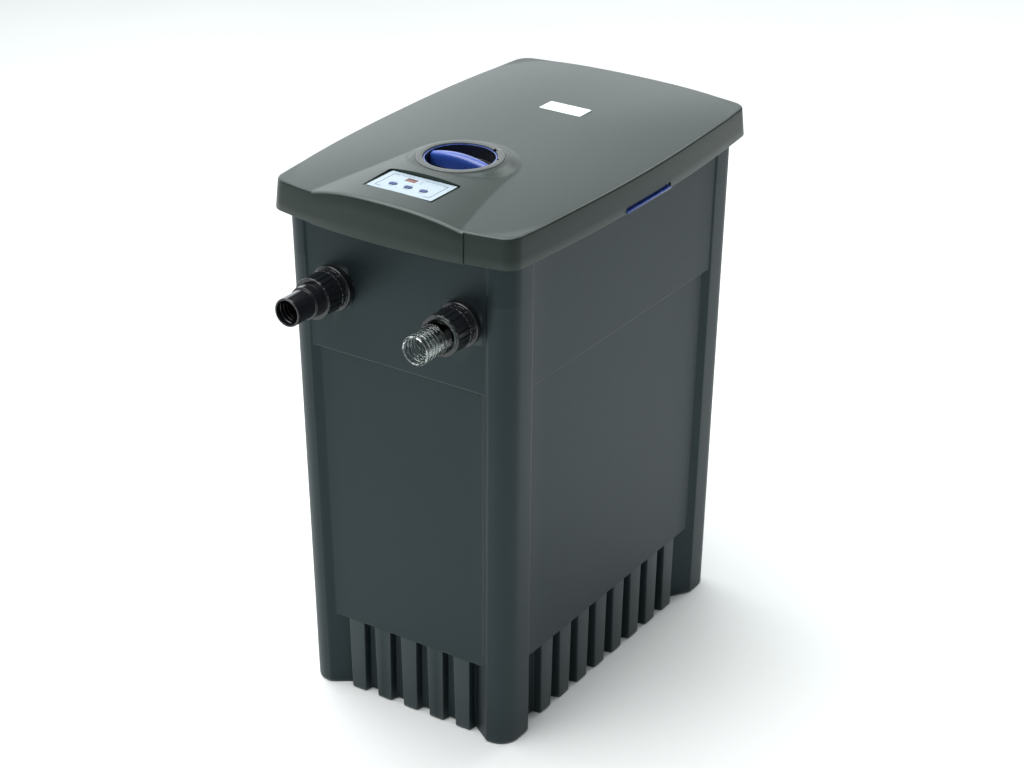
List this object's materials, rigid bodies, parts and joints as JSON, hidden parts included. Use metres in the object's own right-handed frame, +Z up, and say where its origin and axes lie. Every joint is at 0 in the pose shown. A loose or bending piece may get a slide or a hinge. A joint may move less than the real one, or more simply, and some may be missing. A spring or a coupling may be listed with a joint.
{
  "type": "pond filter",
  "caption": "Box-shaped flow-through pond filter with a ribbed tub, clip-on lid, control panel, UV clarifier, foam blocks and an automatic sludge pump.",
  "frame": {"origin": "on the ground under the middle of the whole object's box", "axes": "+Z up; -Y is the short face with the inlet and the sludge drain, +Y carries the outlet; +X and -X are the long sides with the latches"},
  "size_m": [0.3926, 0.6944, 0.7445],
  "materials": {
    "tub_abs": "fine-grained moulded ABS",
    "lid_abs": "satin moulded ABS",
    "black_gloss": "glossy moulded plastic",
    "black_plastic": "matt moulded plastic",
    "clear_plastic": "clear moulded plastic",
    "blue_plastic": "satin blue plastic",
    "white_plastic": "smooth white plastic",
    "display_red": "dark red display window",
    "circuit_green": "lacquered circuit board",
    "rubber": "soft black rubber",
    "quartz": "clear quartz",
    "lamp": "pale lamp glass",
    "steel": "stainless steel",
    "hose_grey": "dark grey flexible hose",
    "foam_blue": "open-cell foam, coarse",
    "foam_green": "open-cell foam, medium",
    "foam_red": "open-cell foam, fine"
  },
  "bodies": {
    "root": {"tub": "tub_abs", "rim_gasket": "rubber", "uvc_housing": "black_plastic", "lower_housing_clip": "black_plastic", "upper_housing_clip": "black_plastic", "inlet_bulkhead": "black_gloss", "inlet_wall_seal": "rubber", "inlet_back_nut": "black_plastic", "inlet_tail_seal": "rubber", "inlet_tail": "black_gloss", "sludge_bulkhead": "black_gloss", "sludge_wall_seal": "rubber", "sludge_back_nut": "black_plastic", "sludge_tail_seal": "rubber", "sludge_tail": "clear_plastic", "outlet_pipe": "black_gloss", "outlet_seal": "rubber", "outlet_back_nut": "black_plastic", "inlet_pipe": "black_plastic", "sludge_hose": "hose_grey", "media_grid": "black_plastic", "partition": "black_plastic", "foam_coarse": "foam_blue", "foam_medium": "foam_green", "foam_fine": "foam_red", "foam_retainer": "black_plastic", "pump_volute": "black_gloss", "pump_strainer": "black_plastic", "pump_motor": "blue_plastic", "pump_cradle": "black_plastic"},
    "lid": {"lid": "lid_abs", "control_box": "black_plastic", "circuit_board": "circuit_green", "control_label": "white_plastic", "led_display": "display_red", "name_plate": "white_plastic", "cable_gland": "black_gloss", "uvc_collar": "black_plastic", "left_latch_pin": "steel", "right_latch_pin": "steel"},
    "latch_left": {"left_latch": "blue_plastic"},
    "latch_right": {"right_latch": "blue_plastic"},
    "uvc_insert": {"uvc_plug": "black_gloss", "uvc_seal": "rubber", "quartz_sleeve": "quartz", "lamp_socket": "white_plastic", "uv_lamp": "lamp"},
    "knob": {"uvc_knob": "black_gloss", "grip_bar": "blue_plastic"},
    "button_1": {"button_1": "blue_plastic"},
    "button_2": {"button_2": "blue_plastic"},
    "button_3": {"button_3": "blue_plastic"},
    "impeller": {"pump_impeller": "white_plastic", "pump_shaft": "steel"},
    "inlet_nut": {"inlet_union_nut": "black_gloss"},
    "sludge_nut": {"sludge_union_nut": "black_gloss"}
  },
  "joints": [
    {"name": "lid_lift", "type": "slide", "parent": "root", "child": "lid", "axis": [0, 0, 1], "range_m": [0, 0.4]},
    {"name": "latch_left_swing", "type": "hinge", "parent": "lid", "child": "latch_left", "pos_m": [-0.1845, 0.018, 0.7155], "axis": [0, 1, 0], "range_deg": [0, 14]},
    {"name": "latch_right_swing", "type": "hinge", "parent": "lid", "child": "latch_right", "pos_m": [0.1845, 0.018, 0.7155], "axis": [0, -1, 0], "range_deg": [0, 14]},
    {"name": "uvc_lift", "type": "slide", "parent": "lid", "child": "uvc_insert", "axis": [0, 0, 1], "range_m": [0, 0.42]},
    {"name": "knob_turn", "type": "hinge", "parent": "uvc_insert", "child": "knob", "pos_m": [0, -0.112, 0.72], "axis": [0, 0, -1], "range_deg": [0, 45]},
    {"name": "button_1_press", "type": "slide", "parent": "lid", "child": "button_1", "axis": [0, 0, -1], "range_m": [0, 0.0008], "stiffness_N_per_m": 400, "springref_m": -0.0008},
    {"name": "button_2_press", "type": "slide", "parent": "lid", "child": "button_2", "axis": [0, 0, -1], "range_m": [0, 0.0008], "stiffness_N_per_m": 400, "springref_m": -0.0008},
    {"name": "button_3_press", "type": "slide", "parent": "lid", "child": "button_3", "axis": [0, 0, -1], "range_m": [0, 0.0008], "stiffness_N_per_m": 400, "springref_m": -0.0008},
    {"name": "impeller_spin", "type": "hinge", "parent": "root", "child": "impeller", "pos_m": [0.098, -0.173, 0.062], "axis": [1, 0, 0], "continuous": true},
    {"name": "inlet_nut_turn", "type": "hinge", "parent": "root", "child": "inlet_nut", "pos_m": [-0.0925, -0.2836, 0.5945], "axis": [0, -1, 0], "continuous": true},
    {"name": "sludge_nut_turn", "type": "hinge", "parent": "root", "child": "sludge_nut", "pos_m": [0.098, -0.2836, 0.5945], "axis": [0, -1, 0], "continuous": true}
  ]
}
